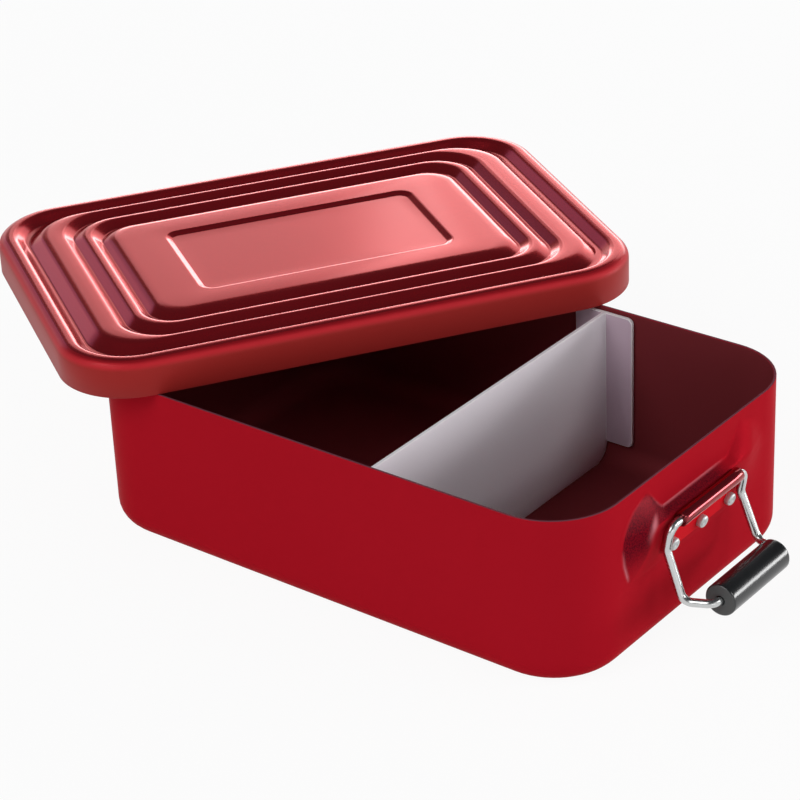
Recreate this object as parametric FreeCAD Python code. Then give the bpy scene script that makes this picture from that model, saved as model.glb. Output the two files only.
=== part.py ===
import FreeCAD, Part
import math
import os
from FreeCAD import Placement, Rotation, Vector

# Box tub: a drawn aluminium sheet with a plain cut rim
box_length = 225.0
box_width = 150.0
box_height = 66.5
box_corner_radius = 27.0
box_base_radius = 9.0
sheet = 1.0

# Wedge pad pressed outward in each end wall, with heights measured down from the rim
pad_rise = 4.0
pad_top_drop = 13.1
pad_crest_drop = 16.5
pad_foot_drop = 35.5
pad_top_half = 45.0
pad_crest_half = 31.0
pad_foot_half = 43.0
pad_edge_radius = 2.5

# Bracket plate on the pad, with distances measured down the pad from its crest
plate_thickness = 1.0
plate_half_width = 23.5
plate_top_drop = 4.5
plate_bottom_drop = 16.0
plate_corner_radius = 3.0
barrel_half_length = 19.0
barrel_drop = 1.45
barrel_seam_angle = 35.0

# Rivets through plate and pad
rivet_pitch = 18.6
rivet_drop = 12.7
rivet_shank_diameter = 3.0
rivet_head_diameter = 4.8
rivet_head_height = 2.3
rivet_tail_height = 0.7
rivet_bevel = 0.5
rivet_clearance = 0.05

# Wire clip as it hangs, measured from the barrel's axis
wire_diameter = 3.2
wire_barrel_clearance = 0.1
wire_bend_radius = 4.5
wire_leg_past_barrel = 5.4
wire_kink_in = 1.6
wire_kink_drop = 9.2
wire_knee_past_grip = 6.3
wire_knee_out = 5.7
wire_knee_drop = 27.8
wire_insert = 11.0
wire_bend_gap = 0.3
wire_slide = -1.0
grip_out = 16.7
grip_drop = 26.8

# Plastic grip on the wire's two ends
grip_length = 37.4
grip_diameter = 12.2
grip_bore_clearance = 0.1
grip_bevel = 0.8

# Lid, which lies turned across the open box
lid_clearance = 0.4
lid_bead_height = 14.5
lid_bead_radius = 4.4
lid_seat_gap = 0.1
lid_yaw = 57.2
lid_centre_x = -89.7
lid_centre_y = 36.8

# Slopes pressed into the lid's panel from the bead inward, each from its outer to its inner edge.
# An edge is given by its inset on the long sides, its inset at the ends, its corner radius and its height.
bead_fall = ((6.4, 6.8, 22.0, 14.5), (8.9, 10.6, 19.5, 11.0))
outer_rib_rise = ((10.2, 12.0, 21.0, 11.0), (14.4, 17.0, 19.5, 15.0))
outer_groove_fall = ((16.7, 24.8, 18.5, 15.0), (20.1, 28.3, 16.0, 12.4))
inner_rib_rise = ((20.7, 28.9, 15.8, 12.4), (24.4, 32.2, 15.0, 15.0))
inner_groove_fall = ((26.7, 35.0, 14.0, 15.0), (30.1, 38.5, 12.0, 12.4))
plateau_rise = ((30.7, 39.1, 11.8, 12.4), (34.6, 42.2, 11.0, 15.0))
recess_fall = ((47.9, 61.9, 6.0, 15.0), (50.2, 64.2, 3.7, 13.8))
bead_crown_radius = 2.6
valley_radius = 1.0
rib_outer_radius = 2.4
rib_inner_radius = 1.5
plateau_radius = 4.5
recess_mouth_radius = 1.6

# Divider across the box
divider_place = 26.2
divider_thickness = 1.6
divider_flange_half = 12.9
divider_rim_drop = 1.5
divider_wall_clearance = 0.3
divider_floor_clearance = 0.1
divider_corner_radius = 2.5

# Allowance by which a cutting tool passes the face that it opens
overshoot = 1.0
on_plane = 0.001


def rounded_outline(length, width, radius, height):
    """Closed outline with straight sides and round corners, level at the given height."""
    x = length / 2
    y = width / 2
    turn = radius * (1 - math.sqrt(0.5))
    starts = [(x, -y), (x, y), (-x, y), (-x, -y)]
    edges = []
    last = Vector(-x + radius, -y, height)
    for px, py in starts:
        sx = math.copysign(1, px)
        sy = math.copysign(1, py)
        on_side_y = Vector(px, py - sy * radius, height)
        on_side_x = Vector(px - sx * radius, py, height)
        middle = Vector(px - sx * turn, py - sy * turn, height)
        first, second = (on_side_x, on_side_y) if sx * sy < 0 else (on_side_y, on_side_x)
        edges.append(Part.LineSegment(last, first).toShape())
        edges.append(Part.Arc(first, middle, second).toShape())
        last = second
    return Part.Wire(edges)


def rounded_block(length, width, radius, bottom, top):
    """Upright block with round corners."""
    face = Part.Face(rounded_outline(length, width, radius, bottom))
    return face.extrude(Vector(0, 0, top - bottom))


def loop_at(shape, height, half_length, half_width):
    """Edges level at a height that lie within, and reach, the given half sizes."""
    found = []
    for edge in shape.Edges:
        box = edge.BoundBox
        level = abs(box.ZMin - height) < on_plane and abs(box.ZMax - height) < on_plane
        reach_x = max(abs(box.XMin), abs(box.XMax))
        reach_y = max(abs(box.YMin), abs(box.YMax))
        within = reach_x < half_length + on_plane and reach_y < half_width + on_plane
        on_loop = reach_x > half_length - on_plane or reach_y > half_width - on_plane
        if level and within and on_loop:
            found.append(edge)
    return found


def round_loop(shape, radius, height, length, width):
    """Round the level loop of edges that has the given outer sizes."""
    return shape.makeFillet(radius, loop_at(shape, height, length / 2, width / 2))


def at_both_ends(shape):
    """The piece at the right end and its twin at the left end."""
    twin = shape.copy()
    twin.rotate(Vector(0, 0, 0), Vector(0, 0, 1), 180)
    return shape, twin


# Places worked out from the sizes above
end_wall = box_length / 2
pad_tilt = math.degrees(math.atan2(pad_rise, pad_foot_drop - pad_crest_drop))
pad_frame = Placement(
    Vector(end_wall + pad_rise, 0, box_height - pad_crest_drop),
    Rotation(Vector(0, 1, 0), pad_tilt),
)
wire_radius = wire_diameter / 2
barrel_bore_radius = wire_radius + wire_barrel_clearance
barrel_radius = barrel_bore_radius + plate_thickness
hinge = pad_frame.multVec(Vector(barrel_radius, 0, -barrel_drop))
pad_wall = sheet * math.cos(math.radians(pad_tilt))


def make_pad():
    """Wedge that stands out most at its crest, fades into the wall at its foot and roots in the sheet."""
    top = box_height - pad_top_drop
    crest = box_height - pad_crest_drop
    foot = box_height - pad_foot_drop
    proud = end_wall + pad_rise
    sides = {}
    for side in (-1, 1):
        sides[side] = (
            Vector(end_wall, side * pad_top_half, top),
            Vector(proud, side * pad_crest_half, crest),
            Vector(end_wall, side * pad_foot_half, foot),
        )
    top_l, crest_l, foot_l = sides[-1]
    top_r, crest_r, foot_r = sides[1]
    outlines = [
        (top_l, crest_l, crest_r, top_r),
        (crest_l, foot_l, foot_r, crest_r),
        (top_l, foot_l, crest_l),
        (top_r, crest_r, foot_r),
        (top_l, top_r, foot_r, foot_l),
    ]
    faces = [Part.Face(Part.makePolygon(list(points) + [points[0]])) for points in outlines]
    root = faces[-1].extrude(Vector(-sheet, 0, 0))
    wedge = Part.makeSolid(Part.makeShell(faces)).fuse(root)
    proud_edges = [edge for edge in wedge.Edges if edge.BoundBox.XMax > proud - on_plane]
    return wedge.makeFillet(pad_edge_radius, proud_edges)


def make_rivet_holes():
    """Holes through the plate and the pad at one end."""
    reach = plate_thickness + pad_wall + 2 * overshoot
    radius = rivet_shank_diameter / 2 + rivet_clearance
    holes = []
    for place in (-rivet_pitch, 0, rivet_pitch):
        start = Vector(-pad_wall - overshoot, place, -rivet_drop)
        hole = Part.makeCylinder(radius, reach, start, Vector(1, 0, 0))
        hole.Placement = pad_frame.multiply(hole.Placement)
        holes.append(hole)
    return holes


def make_body():
    """Drawn tub, hollow pads included."""
    tub = rounded_block(box_length, box_width, box_corner_radius, 0, box_height)
    tub = round_loop(tub, box_base_radius, 0, box_length, box_width)
    hollow_length = box_length - 2 * sheet
    hollow_width = box_width - 2 * sheet
    hollow = rounded_block(
        hollow_length, hollow_width, box_corner_radius - sheet, sheet, box_height + overshoot
    )
    hollow = round_loop(hollow, box_base_radius - sheet, sheet, hollow_length, hollow_width)
    pad = make_pad()
    pad_hollow = pad.translated(Vector(-sheet, 0, 0))
    tub = tub.fuse(list(at_both_ends(pad)))
    tub = tub.cut(hollow)
    tub = tub.cut(list(at_both_ends(pad_hollow)))
    for hole in make_rivet_holes():
        tub = tub.cut(list(at_both_ends(hole)))
    return tub.removeSplitter()


def make_bracket():
    """Plate on the pad whose top edge is rolled outward into a barrel."""
    plate_height = plate_bottom_drop - plate_top_drop
    outline = rounded_outline(2 * plate_half_width, plate_height, plate_corner_radius, 0)
    plate = Part.Face(outline).extrude(Vector(0, 0, plate_thickness))
    upright = Rotation(Vector(0, 1, 0), Vector(0, 0, 1), Vector(1, 0, 0), "ZXY")
    plate.Placement = Placement(Vector(0, 0, -(plate_top_drop + plate_bottom_drop) / 2), upright)
    neck_height = (plate_top_drop + plate_bottom_drop) / 2 - barrel_drop
    neck = Part.makeBox(
        plate_thickness,
        2 * barrel_half_length,
        neck_height,
        Vector(0, -barrel_half_length, -barrel_drop - neck_height),
    )

    def on_barrel(radius, angle):
        turn = math.radians(angle)
        return Vector(
            barrel_radius + radius * math.cos(turn),
            -barrel_half_length,
            -barrel_drop + radius * math.sin(turn),
        )

    def barrel_arc(radius, start, finish):
        angles = (start, (start + finish) / 2, finish)
        return Part.Arc(*[on_barrel(radius, angle) for angle in angles])

    root = 180
    tip = barrel_seam_angle - 180
    curl_edges = [
        barrel_arc(barrel_radius, root, tip),
        Part.LineSegment(on_barrel(barrel_radius, tip), on_barrel(barrel_bore_radius, tip)),
        barrel_arc(barrel_bore_radius, tip, root),
        Part.LineSegment(on_barrel(barrel_bore_radius, root), on_barrel(barrel_radius, root)),
    ]
    curl = Part.Face(Part.Wire([edge.toShape() for edge in curl_edges]))
    curl = curl.extrude(Vector(0, 2 * barrel_half_length, 0))
    bracket = plate.fuse([neck, curl]).removeSplitter()
    bracket.Placement = pad_frame.multiply(bracket.Placement)
    return bracket.cut(make_rivet_holes()).removeSplitter()


def make_rivets():
    """Three rivets with a bevelled head outside and a flat tail inside, each turned from half its section."""
    shank_radius = rivet_shank_diameter / 2
    head_radius = rivet_head_diameter / 2
    tail_face = -pad_wall - rivet_tail_height
    head_face = plate_thickness + rivet_head_height
    half_section = [
        (tail_face, 0),
        (tail_face, head_radius),
        (-pad_wall, head_radius),
        (-pad_wall, shank_radius),
        (plate_thickness, shank_radius),
        (plate_thickness, head_radius),
        (head_face - rivet_bevel, head_radius),
        (head_face, head_radius - rivet_bevel),
        (head_face, 0),
        (tail_face, 0),
    ]
    outline = Part.makePolygon([Vector(along, across, 0) for along, across in half_section])
    rivet = Part.Face(outline).revolve(Vector(0, 0, 0), Vector(1, 0, 0), 360)
    rivets = []
    for place in (-rivet_pitch, 0, rivet_pitch):
        copy = rivet.translated(Vector(0, place, -rivet_drop))
        copy.Placement = pad_frame.multiply(copy.Placement)
        rivets.append(copy)
    return Part.makeCompound(rivets)


def bent_path(corners, radius):
    """Wire through the corners, with every inner corner bent to the radius."""
    edges = []
    last = corners[0]
    for before, corner, after in zip(corners, corners[1:], corners[2:]):
        back = (before - corner).normalize()
        onward = (after - corner).normalize()
        half_angle = back.getAngle(onward) / 2
        reach = radius / math.tan(half_angle)
        start = corner + back * reach
        finish = corner + onward * reach
        inward = (back + onward).normalize()
        middle = corner + inward * (radius / math.sin(half_angle) - radius)
        edges.append(Part.LineSegment(last, start).toShape())
        edges.append(Part.Arc(start, middle, finish).toShape())
        last = finish
    edges.append(Part.LineSegment(last, corners[-1]).toShape())
    return Part.Wire(edges)


def make_bail():
    """One bent wire: through the barrel, down both sides and into both ends of the grip."""
    from_knee = Vector(wire_knee_out - grip_out, 0, grip_drop - wire_knee_drop).Length
    turn = math.atan2(from_knee, wire_knee_past_grip)
    grip_side = grip_length / 2 + wire_bend_gap + wire_bend_radius * math.tan(turn / 2)
    knee_side = grip_length / 2 + wire_knee_past_grip
    leg_side = barrel_half_length + wire_leg_past_barrel
    side_points = [
        Vector(grip_out, grip_length / 2 - wire_insert, -grip_drop),
        Vector(grip_out, grip_side, -grip_drop),
        Vector(wire_knee_out, knee_side, -wire_knee_drop),
        Vector(-wire_kink_in, leg_side, -wire_kink_drop),
        Vector(0, leg_side, 0),
    ]
    mirrored = [Vector(point.x, -point.y, point.z) for point in reversed(side_points)]
    corners = [hinge + point + Vector(0, wire_slide, 0) for point in side_points + mirrored]
    path = bent_path(corners, wire_bend_radius)
    section = Part.Face(Part.Wire(Part.makeCircle(wire_radius, corners[0], Vector(0, 1, 0))))
    return path.makePipe(section)


def make_grip():
    """Straight plastic roller with softened ends and a bore for the wire."""
    middle = hinge + Vector(grip_out, wire_slide, -grip_drop)
    start = middle - Vector(0, grip_length / 2, 0)
    roller = Part.makeCylinder(grip_diameter / 2, grip_length, start, Vector(0, 1, 0))
    roller = roller.makeChamfer(grip_bevel, [edge for edge in roller.Edges if edge.Closed])
    bore_radius = wire_radius + grip_bore_clearance
    bore = Part.makeCylinder(bore_radius, grip_length, start, Vector(0, 1, 0))
    return roller.cut(bore)


def lid_edge(slope, which, skin):
    """Length, width, corner radius and height of one edge of a slope, on the skin at the given depth."""
    (side_out, end_out, _, start), (side_in, end_in, _, finish) = slope
    side_inset, end_inset, radius, height = slope[which]
    rise = finish - start
    side_shift = skin * math.tan(math.atan2(rise, side_in - side_out) / 2)
    end_shift = skin * math.tan(math.atan2(rise, end_in - end_out) / 2)
    length = box_length + 2 * (lid_clearance + sheet - end_inset - end_shift)
    width = box_width + 2 * (lid_clearance + sheet - side_inset - side_shift)
    return length, width, radius - side_shift, height - skin


def lid_slope(slope, skin):
    """Filled form inside a slope: a mesa where the sheet rises inward, a dish open above where it falls."""
    edges = [lid_edge(slope, 0, skin), lid_edge(slope, 1, skin)]
    edges.sort(key=lambda edge: edge[3])
    form = Part.makeLoft([rounded_outline(*edge) for edge in edges], True, True)
    low, high = edges
    if slope[0][3] > slope[1][3]:
        length, width, radius, height = high
        return form.fuse(rounded_block(length, width, radius, height, height + overshoot))
    length, width, radius, height = low
    return form.fuse(rounded_block(length, width, radius, height - overshoot, height))


def lid_form(skin):
    """Lid as a filled form whose surface lies the given depth under the lid's upper face."""
    length = box_length + 2 * (lid_clearance + sheet - skin)
    width = box_width + 2 * (lid_clearance + sheet - skin)
    corner = box_corner_radius + lid_clearance + sheet - skin
    bottom = -overshoot if skin else 0
    top = lid_bead_height - skin
    form = rounded_block(length, width, corner, bottom, top)
    form = round_loop(form, lid_bead_radius - skin, top, length, width)
    form = form.cut(lid_slope(bead_fall, skin))
    form = form.fuse(lid_slope(outer_rib_rise, skin))
    form = form.cut(lid_slope(outer_groove_fall, skin).cut(lid_slope(inner_rib_rise, skin)))
    form = form.cut(lid_slope(inner_groove_fall, skin).cut(lid_slope(plateau_rise, skin)))
    form = form.cut(lid_slope(recess_fall, skin)).removeSplitter()
    bends = [
        (bead_fall, 0, bead_crown_radius - skin),
        (bead_fall, 1, valley_radius + skin),
        (outer_rib_rise, 1, rib_outer_radius - skin),
        (outer_groove_fall, 0, rib_inner_radius - skin),
        (inner_rib_rise, 1, rib_outer_radius - skin),
        (inner_groove_fall, 0, rib_inner_radius - skin),
        (plateau_rise, 1, plateau_radius - skin),
        (recess_fall, 0, recess_mouth_radius - skin),
    ]
    for slope, which, radius in bends:
        length, width, _, height = lid_edge(slope, which, skin)
        form = round_loop(form, radius, height, length, width)
    return form


def make_lid():
    """Pressed lid laid across the rim."""
    lid = lid_form(0).cut(lid_form(sheet)).removeSplitter()
    lid.Placement = Placement(
        Vector(lid_centre_x, lid_centre_y, box_height + lid_seat_gap),
        Rotation(Vector(0, 0, 1), lid_yaw),
    ).multiply(lid.Placement)
    return lid


def make_divider():
    """Cross wall with a flange along each long wall."""
    half_width = box_width / 2 - sheet - divider_wall_clearance
    bottom = sheet + divider_floor_clearance
    top = box_height - divider_rim_drop
    turn = box_base_radius - sheet
    bend = turn * (1 - math.sqrt(0.5))
    web_left = divider_place - divider_thickness / 2

    def point(y, z):
        return Vector(web_left, y, z)

    web_edges = [
        Part.LineSegment(point(half_width, top), point(-half_width, top)),
        Part.LineSegment(point(-half_width, top), point(-half_width, bottom + turn)),
        Part.Arc(
            point(-half_width, bottom + turn),
            point(bend - half_width, bottom + bend),
            point(turn - half_width, bottom),
        ),
        Part.LineSegment(point(turn - half_width, bottom), point(half_width - turn, bottom)),
        Part.Arc(
            point(half_width - turn, bottom),
            point(half_width - bend, bottom + bend),
            point(half_width, bottom + turn),
        ),
        Part.LineSegment(point(half_width, bottom + turn), point(half_width, top)),
    ]
    web = Part.Face(Part.Wire([edge.toShape() for edge in web_edges]))
    web = web.extrude(Vector(divider_thickness, 0, 0))
    flanges = []
    for side in (-1, 1):
        flange_height = top - bottom - turn
        outline = rounded_outline(2 * divider_flange_half, flange_height, divider_corner_radius, 0)
        flange = Part.Face(outline).extrude(Vector(0, 0, divider_thickness))
        flange.rotate(Vector(0, 0, 0), Vector(1, 0, 0), 90)
        outer_face = half_width if side > 0 else divider_thickness - half_width
        flange.translate(Vector(divider_place, outer_face, top - flange_height / 2))
        flanges.append(flange)
    return web.fuse(flanges).removeSplitter()


def main():
    os.makedirs("parts", exist_ok=True)
    nodes = {"body_shell": make_body(), "lid_shell": make_lid(), "divider": make_divider()}
    clip_pieces = {
        "bracket": make_bracket(),
        "rivets": make_rivets(),
        "bail_wire": make_bail(),
        "grip": make_grip(),
    }
    for name, piece in clip_pieces.items():
        nodes["right_" + name], nodes["left_" + name] = at_both_ends(piece)
    for name, shape in nodes.items():
        shape.exportStep("parts/" + name + ".step")
        print(name, len(shape.Solids), "solids, valid", shape.isValid(), "volume", round(shape.Volume, 1))


main()
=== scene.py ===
# Red metal lunch box with its lid laid across the open tub, a clip on each end and a loose cross
# wall inside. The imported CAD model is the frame: every piece stands where its CAD node stands, in
# metres. The sizes below are in millimetres where nothing else is said.
import math
import bpy
import numpy as np
from mathutils import Matrix, Vector


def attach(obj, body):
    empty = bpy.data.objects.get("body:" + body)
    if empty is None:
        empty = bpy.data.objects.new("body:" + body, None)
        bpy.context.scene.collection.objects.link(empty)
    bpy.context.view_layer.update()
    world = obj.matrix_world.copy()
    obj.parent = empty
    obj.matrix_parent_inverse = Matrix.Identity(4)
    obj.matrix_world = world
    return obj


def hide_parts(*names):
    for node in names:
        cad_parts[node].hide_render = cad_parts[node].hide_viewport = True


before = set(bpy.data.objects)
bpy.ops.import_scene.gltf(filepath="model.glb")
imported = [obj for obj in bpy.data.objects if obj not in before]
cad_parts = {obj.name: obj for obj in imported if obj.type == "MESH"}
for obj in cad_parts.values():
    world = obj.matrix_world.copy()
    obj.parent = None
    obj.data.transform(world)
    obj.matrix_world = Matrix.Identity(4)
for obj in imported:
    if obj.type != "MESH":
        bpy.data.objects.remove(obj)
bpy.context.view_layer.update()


# TUB
# One deep-drawn sheet of aluminium, 1 mm thick, lacquered red inside and out. A wedge-shaped pad is
# pressed out of each end wall to carry the clip, and the rim is cut straight, so its edge is dull.
metres = 0.001
millimetres = 1000
# slack for telling one place or skin from another
hair = 0.01
tub_half_length = 112.5
tub_half_width = 75.0
tub_height = 66.5
tub_corner = 27.0
base_round = 9.0
base_margin = 6.0
sheet = 1.0
rim_round = 0.3
rim_band = 0.25
cut_edge_depth = 0.12
pad_rise = 4.0
pad_foot = 31.0
pad_crest = 50.0
pad_top_middle = 52.3
pad_top_corner = 62.0
pad_corner_span = (20, 32)
pad_flank_width = 14.3
pad_fold = 0.8
wall_fold = 0.9
# height up the wall and half width of the pad there
pad_outline = (
    (28, 40.5), (32, 42.5), (40, 45.3), (46.7, 46.4),
    (51, 45.2), (55.7, 42.2), (59, 38.7), (62.5, 31),
)
# under this height the flank gets narrower towards the foot, down to the least share of its width
flank_full_height = 43
flank_narrowing = 12
flank_least = 0.1
# the painted shade's share at the pad's foot, and where across the pad the painted side thins out
# and ends
foot_shade = 0.2
painted_light_side_span = (19, 10)


def rounded_loop(half_length, half_width, corner, end_steps, side_steps, corner_steps):
    """Points round a rounded rectangle, counter-clockwise from the right end."""
    end = half_width - corner
    side = half_length - corner
    half = [(half_length, y) for y in np.linspace(-end, end, end_steps, endpoint=False)]
    for turn in np.radians(np.linspace(0, 90, corner_steps, endpoint=False)):
        half.append((side + corner * math.cos(turn), end + corner * math.sin(turn)))
    half += [(x, half_width) for x in np.linspace(side, -side, side_steps, endpoint=False)]
    for turn in np.radians(np.linspace(90, 180, corner_steps, endpoint=False)):
        half.append((-side + corner * math.cos(turn), end + corner * math.sin(turn)))
    return half + [(-x, -y) for x, y in half]


def smoothed(mesh, sharp=50):
    """Shades a mesh smooth, apart from edges that bend by more than the angle in degrees."""
    mesh.shade_smooth()
    mesh.set_sharp_from_angle(angle=math.radians(sharp))
    return mesh


def ringed_mesh(name, rings, sharp=50):
    """Closed mesh through rings of equal count, with a flat face at the first and last ring."""
    count = len(rings[0])
    points = np.array([point for ring in rings for point in ring]) * metres
    faces = [tuple(range(count))[::-1]]
    for low in range(0, count * (len(rings) - 1), count):
        for i in range(count):
            j = (i + 1) % count
            faces.append((low + i, low + j, low + count + j, low + count + i))
    faces.append(tuple(range(count * (len(rings) - 1), count * len(rings))))
    mesh = bpy.data.meshes.new(name)
    mesh.from_pydata(points.tolist(), [], faces)
    return smoothed(mesh, sharp)


def soft_min(a, b, softness):
    """The lower of two heights, with the corner between them rounded off."""
    near = max(softness - abs(a - b), 0) / softness
    return min(a, b) - near * near * softness / 4


def share(value, start, full):
    """0 up to start, 1 from full on, and even between them."""
    return min(max((value - start) / (full - start), 0), 1)


def bell(distance, width):
    """1 on a line, and less on both sides of it."""
    return math.exp(-((distance / width) ** 2))


def pad_half_width(z):
    """Half width of the pad at a height up the wall."""
    return np.interp(z, *zip(*pad_outline))


def pad_top_edge(y):
    """Height of the pad's top edge, which sweeps up to both upper corners."""
    spread = share(abs(y), *pad_corner_span)
    eased = spread * spread * (3 - 2 * spread)
    return pad_top_middle + (pad_top_corner - pad_top_middle) * eased


def up_flank(y, z):
    """Share of the way up the pad's flank, 0 at its side edge and 1 at its face."""
    narrowed = max(1 - max((flank_full_height - z) / flank_narrowing, 0) ** 2, flank_least)
    return (pad_half_width(z) - abs(y)) / pad_flank_width / narrowed


def face_rise(z):
    """How far the pad's sloping face would stand out if it had no edges."""
    return pad_rise * (z - pad_foot) / (pad_crest - pad_foot)


def top_rise(y, z):
    """How far the pad's top would stand out if it had no other edges."""
    edge = pad_top_edge(y)
    return pad_rise * (edge - z) / (edge - pad_crest)


def pad_height(y, z):
    """How far the pressed pad stands out from an end wall, with soft folds between its planes."""
    flank = min(max(face_rise(z), 0), pad_rise) * up_flank(y, z)
    planes = soft_min(soft_min(face_rise(z), flank, pad_fold), top_rise(y, z), pad_fold)
    return -soft_min(-planes, 0, wall_fold)


def pad_shade_share(y, z):
    """Share of painted shade on a pad: on its flank, thinner to the foot, and on its top."""
    edge, flank = pad_top_edge(y), up_flank(y, z)
    thinned = share(z, 70, 54) * (foot_shade + (1 - foot_shade) * share(z, 34, 44))
    on_flank = share(flank, 1.06, 0.94) * thinned
    on_top = share(z, 49.6, 50.2) * share(abs(y), 33, 28)
    inside = share(flank, 0, 0.05) * share(z, 30.5, 33) * share(z, edge + 0.4, edge - 0.1)
    return max(on_flank, on_top) * inside


def pad_highlight_share(y, z):
    """Share of painted highlights on a pad: along its side, its top edge and its ridge, and a faint
    painted sheen in its upper corner.
    """
    flank, top = up_flank(y, z), top_rise(y, z)
    inside = share(face_rise(z), 0.2, 0.8) * share(flank, -0.1, 0) * share(top, -1.2, 0)
    side_line = 0.8 * bell(pad_half_width(z) - abs(y) - 0.4, 0.6) * share(z, 47, 38)
    top_line = 0.6 * bell(pad_top_edge(y) - z + 0.2, 0.35) * share(abs(y), 29, 24)
    ridge = bell(flank - 1, 0.11) * share(z, 41, 50) ** 2 * share(z, 54.5, 51)
    corner_sheen = 0.12 * share(z, 50, 60) * share(top, 0, 0.5)
    return min(inside * max(side_line, top_line, ridge, corner_sheen), 1)


def tub_ring(inset, z):
    """One ring of the tub wall, the given depth inside its outer face."""
    loop = rounded_loop(
        tub_half_length - inset, tub_half_width - inset, tub_corner - inset,
        end_steps=150, side_steps=24, corner_steps=14,
    )
    ring = []
    for x, y in loop:
        on_end = abs(x) > tub_half_length - inset - hair and inset < sheet + hair
        proud = pad_height(y, z) if on_end else 0
        ring.append((x + math.copysign(proud, x), y, z))
    return ring


def tub_rings():
    """Rings up the outside of the tub, over the rim and down the inside."""
    pad_low, pad_high = pad_foot - 2, pad_top_corner + 1
    wall = list(np.linspace(base_round, pad_low, 8, endpoint=False))
    wall += list(np.linspace(pad_low, pad_high, 58, endpoint=False))
    wall += list(np.linspace(pad_high, tub_height - rim_round, 5))
    base_turns = np.radians(np.linspace(0, 90, 9, endpoint=False))
    rim_turns = np.radians((0, 30, 60, 90))
    rings = [tub_ring(base_round + base_margin, 0)]
    for t in base_turns:
        rings.append(tub_ring(base_round * (1 - math.sin(t)), base_round * (1 - math.cos(t))))
    rings += [tub_ring(0, z) for z in wall]
    for t in rim_turns[1:]:
        inset, drop = rim_round * (1 - math.cos(t)), rim_round * (1 - math.sin(t))
        rings.append(tub_ring(inset, tub_height - drop))
    for t in rim_turns[:-1]:
        inset, drop = sheet - rim_round * (1 - math.sin(t)), rim_round * (1 - math.cos(t))
        rings.append(tub_ring(inset, tub_height - drop))
    rings += [tub_ring(sheet, z) for z in wall[::-2]]
    inner = base_round - sheet
    for t in base_turns[1:]:
        rings.append(tub_ring(base_round - inner * math.cos(t), base_round - inner * math.sin(t)))
    rings += [tub_ring(base_round, sheet), tub_ring(base_round + base_margin, sheet)]
    return rings


def painted(mesh, name, rule):
    """Stores a value from 0 to 1 at each point of a mesh, given by a rule on its place."""
    layer = mesh.attributes.new(name, "FLOAT", "POINT")
    layer.data.foreach_set("value", [float(rule(*(v.co * millimetres))) for v in mesh.vertices])


def grain_group():
    """Shared grain of a sprayed or moulded skin: fine specks and slow clouds over the surface."""
    group = bpy.data.node_groups.new("skin_grain", "ShaderNodeTree")
    for name, start in (("Speck Scale", 1500.0), ("Cloud Scale", 18.0)):
        socket = group.interface.new_socket(name, in_out="INPUT", socket_type="NodeSocketFloat")
        socket.default_value = start
    for name in ("Speck", "Cloud"):
        group.interface.new_socket(name, in_out="OUTPUT", socket_type="NodeSocketFloat")
    inside = group.nodes.new("NodeGroupInput")
    outside = group.nodes.new("NodeGroupOutput")
    place = group.nodes.new("ShaderNodeTexCoord")
    for name, detail in (("Speck", 3.0), ("Cloud", 4.0)):
        noise = group.nodes.new("ShaderNodeTexNoise")
        noise.inputs["Detail"].default_value = detail
        group.links.new(place.outputs["Object"], noise.inputs["Vector"])
        group.links.new(inside.outputs[name + " Scale"], noise.inputs["Scale"])
        group.links.new(noise.outputs["Fac"], outside.inputs[name])
    return group


skin_grain = grain_group()


def new_material(name):
    """An empty node material with its tree and its Principled shader."""
    material = bpy.data.materials.new(name)
    material.use_nodes = True
    return material, material.node_tree, material.node_tree.nodes["Principled BSDF"]


def grained_finish(name, light, dark, rough, speck_scale, cloud_scale, bump):
    """A finish that drifts between two shades, with gloss and surface by the skin grain."""
    material, tree, shader = new_material(name)
    grain = tree.nodes.new("ShaderNodeGroup")
    grain.node_tree = skin_grain
    grain.inputs["Speck Scale"].default_value = speck_scale
    grain.inputs["Cloud Scale"].default_value = cloud_scale
    shade = tree.nodes.new("ShaderNodeMix")
    shade.data_type = "RGBA"
    shade.inputs["A"].default_value = (*dark, 1)
    shade.inputs["B"].default_value = (*light, 1)
    gloss = tree.nodes.new("ShaderNodeMapRange")
    gloss.inputs["From Min"].default_value = 0.3
    gloss.inputs["From Max"].default_value = 0.7
    gloss.inputs["To Min"].default_value = rough[0]
    gloss.inputs["To Max"].default_value = rough[1]
    relief = tree.nodes.new("ShaderNodeBump")
    relief.inputs["Strength"].default_value = bump
    relief.inputs["Distance"].default_value = 0.0001
    tree.links.new(grain.outputs["Cloud"], shade.inputs["Factor"])
    tree.links.new(shade.outputs["Result"], shader.inputs["Base Color"])
    tree.links.new(grain.outputs["Cloud"], gloss.inputs["Value"])
    tree.links.new(gloss.outputs["Result"], shader.inputs["Roughness"])
    tree.links.new(grain.outputs["Speck"], relief.inputs["Height"])
    tree.links.new(relief.outputs["Normal"], shader.inputs["Normal"])
    return material, tree, shader


def mask_of(tree, name):
    """The values painted on a mesh, as a mask for its material."""
    node = tree.nodes.new("ShaderNodeAttribute")
    node.attribute_name = name
    return node.outputs["Fac"]


def blended(tree, socket, mask, value, kind="RGBA"):
    """Lays another colour or number over a shader's input wherever the mask is high."""
    mix = tree.nodes.new("ShaderNodeMix")
    mix.data_type = kind
    mix.inputs["B"].default_value = value
    if socket.links:
        tree.links.new(socket.links[0].from_socket, mix.inputs["A"])
    else:
        mix.inputs["A"].default_value = socket.default_value
    tree.links.new(mask, mix.inputs["Factor"])
    tree.links.new(mix.outputs["Result"], socket)


def placed(name, data):
    """A new object in the scene."""
    made = bpy.data.objects.new(name, data)
    bpy.context.scene.collection.objects.link(made)
    return made


def stand_in(name, mesh, material, body, node):
    """Puts a finished mesh into the scene in place of its CAD node."""
    mesh.materials.clear()
    mesh.materials.append(material)
    made = placed(name, mesh)
    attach(made, body)
    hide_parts(node)


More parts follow.
